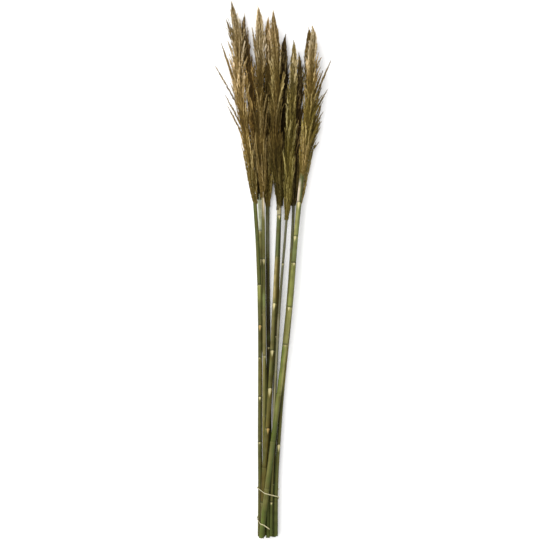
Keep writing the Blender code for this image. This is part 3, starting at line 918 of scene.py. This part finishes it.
def makeTubes(courses, roundness):  # bevelled curves made one; a course is a path and its radii
    curve = bpy.data.curves.new("courses", "CURVE")
    curve.dimensions = "3D"
    curve.bevel_depth = 1.0
    curve.bevel_resolution = roundness
    curve.use_fill_caps = True
    for path, radii in courses:
        spline = curve.splines.new("POLY")
        spline.points.add(len(path) - 1)
        for control, point, radius in zip(spline.points, path, radii):
            control.co = (*point, 1.0)
            control.radius = radius
    guide = addObject("courses", curve)
    mesh = bpy.data.meshes.new_from_object(guide.evaluated_get(bpy.context.evaluated_depsgraph_get()))
    bpy.data.objects.remove(guide, do_unlink=True)
    shape = bmesh.new()
    shape.from_mesh(mesh)
    bpy.data.meshes.remove(mesh)
    return templateOf(shape)


def stalkCourse(branch):
    girth = branch["girth"] * (plumeSizes["clearStalk"] if "density" in branch else 1.0)
    taper = np.linspace(1.0, plumeSizes["stalkTip"], plumeSizes["branchPoints"])
    return branch["path"], plumeSizes["stalkRadius"] * girth * taper


coreSizes = dict(  # the dense middle, which carries on from the cane, dark as painted shade inside the plume
    width=0.44,  # as a share of the plume's
    end=0.97, sections=60, roundness=4, tones=(0.00, 0.30), green=0.4,
)


def coreCourse(axis, look, foot):
    share = np.linspace(0.0, coreSizes["end"], coreSizes["sections"])
    radii = coreSizes["width"] * plumeReach(look, share)
    radii[0] = foot
    return axis(share), radii


huskSizes = dict(  # the slim husks along every branch
    count=10500,
    fewest=8,  # on one branch
    crowding=0.85,  # below 1, they crowd towards a branch's tip
    tipTaper=(4.0, 0.12),  # how fast a strand narrows towards its tip, and to what share
    footTaper=(5.0, 0.5),
    stand=0.00115,  # how far they stand from the middle of their branch
    mostGirth=1.4,  # a branch's girth past which they stand no further out
    splay=(4, 16),  # degrees
    leastSplay=0.35,  # share of it that is left where the strand is slim
    length=0.0066,
    lengths=(0.75, 1.2),
    leastLength=0.75,  # share of it that is left where the strand is slim
    width=0.00056,
    widths=(0.7, 1.2),
    toneClimb=0.38,  # how much lighter a branch is at its tip than at its root
    toneMiddle=0.6,  # where on the branch it has its own tone
    proudTone=0.12,  # how much lighter a husk is that stands out
    toneWander=0.08,
)


def growHusks(branches, luck, husk=huskSizes):  # each husk's root, aim, tone, size and green
    (tipRate, tipLeast), (footRate, footLeast) = husk["tipTaper"], husk["footTaper"]
    weights = np.array([
        np.linalg.norm(np.diff(branch["path"], axis=0), axis=1).sum()
        * (branch["girth"] * branch.get("density", 1.0)) for branch in branches])
    counts = (husk["count"] * weights / weights.sum()).astype(int)
    roots, aims, tones, sizes, greens = [], [], [], [], []
    for branch, count in zip(branches, np.maximum(husk["fewest"], counts)):
        path = branch["path"]
        start = branch.get("start", 0.0)
        part = start + (1.0 - start) * luck.random(count) ** husk["crowding"]
        place = part * (len(path) - 1)
        index = np.minimum(place.astype(int), len(path) - 2)
        along = (place - index)[:, None]
        point = path[index] * (1 - along) + path[index + 1] * along
        ahead = unit(path[index + 1] - path[index])
        side = unit(np.cross(ahead, luck.normal(size=(count, 3))))
        taper = np.clip((1.0 - part) * tipRate, tipLeast, 1.0) * np.clip(part * footRate, footLeast, 1.0)
        loose = branch.get("loose", 1.0)
        reach = husk["stand"] * min(branch["girth"], husk["mostGirth"])
        stand = reach * luck.random(count) * taper * loose
        narrow = husk["leastSplay"] + (1.0 - husk["leastSplay"]) * taper
        splay = np.radians(luck.uniform(*husk["splay"], count)) * narrow * loose
        roots.append(point + side * stand[:, None])
        aims.append(ahead * np.cos(splay)[:, None] + side * np.sin(splay)[:, None])
        lift = husk["toneClimb"] * (part - husk["toneMiddle"])
        lift += husk["proudTone"] * stand / husk["stand"]
        tones.append(branch["tone"] + lift + luck.normal(0.0, husk["toneWander"], count))
        sizes.append(husk["leastLength"] + (1.0 - husk["leastLength"]) * taper)
        greens.append(np.full(count, branch["green"]))
    return [np.concatenate(rows) for rows in (roots, aims, tones, sizes, greens)]


hairSizes = dict(  # fine hairs that start from some of the husks
    count=2000, splay=0.22, length=0.0090, lengths=(0.5, 1.1), width=0.00009,
    lift=0.20,  # how much lighter than its husk a hair is
)


def makePlume(number):
    look = plumes[number]
    stem = stems[number]
    chance = random.Random(number)
    luck = np.random.default_rng(number)
    axis, cadPoints = plumeAxis(number)
    branches = growBranches(axis, look, chance, cadPoints)

    roots, aims, tones, sizes, greens = growHusks(branches, luck)
    count = len(roots)
    husks = repeatShape(
        huskShape, roots, aims, huskSizes["length"] * sizes * luck.uniform(*huskSizes["lengths"], count),
        huskSizes["width"] * luck.uniform(*huskSizes["widths"], count), luck.uniform(*anyAngle, count))
    fine = hairSizes["count"]
    pick = luck.choice(count, fine, replace=False)
    splayed = aims[pick] + luck.normal(0.0, hairSizes["splay"], (fine, 3))
    lengths = hairSizes["length"] * luck.uniform(*hairSizes["lengths"], fine) * sizes[pick]
    widths = np.full(fine, hairSizes["width"])
    hairs = repeatShape(hairShape, roots[pick], splayed, lengths, widths, luck.uniform(*anyAngle, fine))
    stalks = makeTubes([stalkCourse(branch) for branch in branches], 0)
    foot = stemRadius(stem, stem["middles"][-1, 1])
    core = makeTubes([coreCourse(axis, look, foot)], coreSizes["roundness"])

    parts, joins = zip(stalks, core, husks, hairs)
    starts = np.cumsum([0] + [len(part) for part in parts])
    faces = np.concatenate([join + start for join, start in zip(joins, starts)])
    low = (*cadLow[:2], cadLow[2] + plumeSizes["floorGap"])
    points = np.clip(np.concatenate(parts), low, cadHigh)
    name = f"reed_plume_{number:02d}"
    mesh = bpy.data.meshes.new(name)
    mesh.from_pydata(points, [], faces)

    stalkCount, coreCount = len(parts[0]), len(parts[1])
    corners = (len(huskShape[0]), len(hairShape[0]))
    # the core's dark tones, like the heart's, are painted shade
    tone = np.concatenate([
        np.full(stalkCount, plumeSizes["stalkTone"]), luck.uniform(*coreSizes["tones"], coreCount),
        *map(np.repeat, (tones, tones[pick] + hairSizes["lift"]), corners)])
    green = np.concatenate([
        np.ones(stalkCount), np.full(coreCount, coreSizes["green"]),
        *map(np.repeat, (greens, greens[pick]), corners)])
    share = (points[:, 1] - axis(0.0)[1]) / (axis(1.0)[1] - axis(0.0)[1])
    full, fall = plumeSizes["ungreened"]
    green = look["green"] * green * np.clip(full - fall * share, 0.0, 1.0)
    paintPoints(mesh, "tone", [np.clip(tone, 0, 1), np.clip(green, 0, 1), np.zeros_like(tone)])
    # each height's multiplier, partly the plume's own tint and partly painted light and shade
    tintAndLightRows = zip(*[tintAndLightScales[wash] for wash in look["wash"].split()])
    paintPoints(mesh, "wash", [np.interp(share, tintAndLightPlaces, row) for row in tintAndLightRows])
    mesh.validate()
    placePiece(name, mesh, look["slot"], f"plume_{number:02d}")
    return len(faces)


total = sum(makePlume(number) for number in plumes)
print("plumes made:", len(plumes), "with", total, "triangles")


tieSizes = dict(  # the raffia strand
    course=(  # degrees wound round the bunch, height above the cut ends
        (-24, 0.0864), (0, 0.0868), (180, 0.0890), (360, 0.0726), (540, 0.0330), (645, 0.0253)),
    tail=(0.0112, -0.0084, -0.0028),
    tailSteps=8,
    step=5,  # degrees between two sections of the strand
    evening=3,  # rounds that spread its drop evenly along its length
    halfWidth=0.00090,
    halfThickness=0.00050,
    gap=0.0003,
    clearance=1.10,  # a cane's girth as the strand goes round it, to clear the joints
    sides=10,
    twist=2.2,  # turns of the strand on itself, from end to end
    roll=0.5,  # and how far it rolls, in radians
    tipWidth=0.35,  # its ends narrow to this share
    tipSections=(3, 2),  # over this many sections, at the first end and the last
)


def tieTurns(outs, heights):  # points just outside the stems, one for each direction and height
    gap = tieSizes["halfWidth"] + tieSizes["gap"]
    points = []
    for out, along in zip(outs, heights):
        reaches = []
        for stem in stems.values():
            middle = stemMiddle(stem, along)
            girth = tieSizes["clearance"] * float(np.polyval(stem["taper"], along))
            reaches.append((middle @ out + girth, middle + (girth + gap) * out))
        points.append(max(reaches, key=lambda row: row[0])[1])
    return np.array(points)


def tiePath():  # the strand's middle, and the directions away from the bunch
    cut = min(stem["middles"][0, 1] for stem in stems.values())
    keys, keyHeights = zip(*tieSizes["course"])
    wound = np.arange(keys[0], keys[-1] + 1, tieSizes["step"])
    outs = outward(-np.radians(wound))
    heights = cut + np.interp(wound, keys, keyHeights)
    for one in range(tieSizes["evening"]):
        points = tieTurns(outs, heights)
        run = np.concatenate([[0.0], np.cumsum(np.hypot(*np.diff(points[:, [0, 2]], axis=0).T))])
        heights = cut + np.interp(run, np.interp(keys, wound, run), keyHeights)
    points = tieTurns(outs, heights)
    steps = np.arange(1, tieSizes["tailSteps"] + 1)[:, None] / tieSizes["tailSteps"]
    tail = points[-1] + steps * np.array(tieSizes["tail"])
    return np.vstack([points, tail]), np.vstack([outs, np.repeat(outs[-1:], len(tail), axis=0)])


def makeTie():
    points, outs = tiePath()
    final = len(points) - 1
    firstRun, lastRun = tieSizes["tipSections"]
    places = []
    for index, (point, out) in enumerate(zip(points, outs)):
        ahead = Vector(points[min(index + 1, final)] - points[max(index - 1, 0)]).normalized()
        across = ahead.cross(Vector(out)).normalized()
        turn = Matrix((across, across.cross(ahead), ahead)).transposed().to_4x4()
        twist = 2 * math.pi * tieSizes["twist"] * index / len(points)
        roll = Matrix.Rotation(tieSizes["roll"] * math.sin(twist), 4, "Z")
        width = min(1.0, tieSizes["tipWidth"] + min(index / firstRun, (final - index) / lastRun))
        size = Matrix.Diagonal((tieSizes["halfWidth"] * width, tieSizes["halfThickness"] * width, 1.0, 1.0))
        places.append(Matrix.Translation(point) @ turn @ roll @ size)
    shape = bmesh.new()
    grainLayer = shape.verts.layers.float_vector.new("grain")
    loop, edges = startLoop(shape, tieSizes["sides"], places[0])
    loops = [loop, *sweepLoop(shape, edges, places)]
    bmesh.ops.edgeloop_fill(shape, edges=edges)
    travelled = np.cumsum([0.0, *np.linalg.norm(np.diff(points, axis=0), axis=1)])
    for loop, here, along in zip(loops, places, travelled):
        for vertex in loop:
            flat = here.inverted() @ vertex.co
            vertex[grainLayer] = (flat.x * tieSizes["halfWidth"], along, flat.y * tieSizes["halfWidth"])
    bmesh.ops.recalc_face_normals(shape, faces=shape.faces)
    mesh = meshOf(shape, "raffia_strand")
    mesh.shade_smooth()
    placePiece("raffia_strand", mesh, "raffia", "raffia_tie")


makeTie()
print("raffia made")


studio = dict(
    floorSize=14.0,
    floorShades=((0.3, 0.92), (0.7, 0.93)),
    floorClouds=1.5,  # scale of the faint patches on the table
    floorGlow=0.08,  # the pale table is lit from below a little
    floorRoughness=0.9,
    floorSpecular=0.1,
    worldStrength=0.60,
    lamps=(  # name, place, width and power
        ("key", (-1.1, 0.5, 2.5), 3.0, 98.0),
        ("fill", (1.0, -0.5, 2.8), 2.4, 14.0),
    ),
    cameraPlace=(-0.0053, -0.0005),
    lens=100.0,
    viewSpan=0.9634,  # width of the photograph at the bunch
    bunchMiddle=0.024,  # height at which that width is measured
)


def makeFloor():
    shape = bmesh.new()
    bmesh.ops.create_grid(shape, x_segments=1, y_segments=1, size=0.5 * studio["floorSize"])
    mesh = meshOf(shape, "floor")
    material, tree, shader = newMaterial("pale floor")
    place = addNode(tree, "ShaderNodeTexCoord", {})["Object"]
    cloud = addNode(tree, "ShaderNodeTexNoise", {"Vector": place, "Scale": studio["floorClouds"]})["Fac"]
    shade = addShades(tree, cloud, studio["floorShades"])
    feedNode(tree, shader, {
        "Base Color": shade,
        "Emission Color": shade,
        "Emission Strength": studio["floorGlow"],
        "Roughness": studio["floorRoughness"],
        "Specular IOR Level": studio["floorSpecular"],
    })
    mesh.materials.append(material)
    floor = addObject("floor", mesh)


def makeLamp(name, place, width, power):
    light = bpy.data.lights.new(name, "AREA")
    light.size = width
    light.energy = power
    lamp = addObject(name, light)
    lamp.location = place
    lamp.rotation_euler = (-Vector(place)).to_track_quat("-Z", "Y").to_euler()


def makeCamera():
    camera = bpy.data.cameras.new("camera")
    camera.lens = studio["lens"]
    distance = studio["viewSpan"] * studio["lens"] / camera.sensor_width
    view = addObject("camera", camera)
    view.location = (*studio["cameraPlace"], studio["bunchMiddle"] + distance)
    bpy.context.scene.camera = view


def makeWorld():
    world = bpy.data.worlds.new("studio")
    world.use_nodes = True
    feedNode(world.node_tree, world.node_tree.nodes["Background"], {
        "Color": (1.0, 1.0, 1.0, 1.0),
        "Strength": studio["worldStrength"],
    })
    bpy.context.scene.world = world
    bpy.context.scene.view_settings.view_transform = "Standard"


makeWorld()
makeFloor()
for lamp in studio["lamps"]:
    makeLamp(*lamp)
makeCamera()
print("studio made")
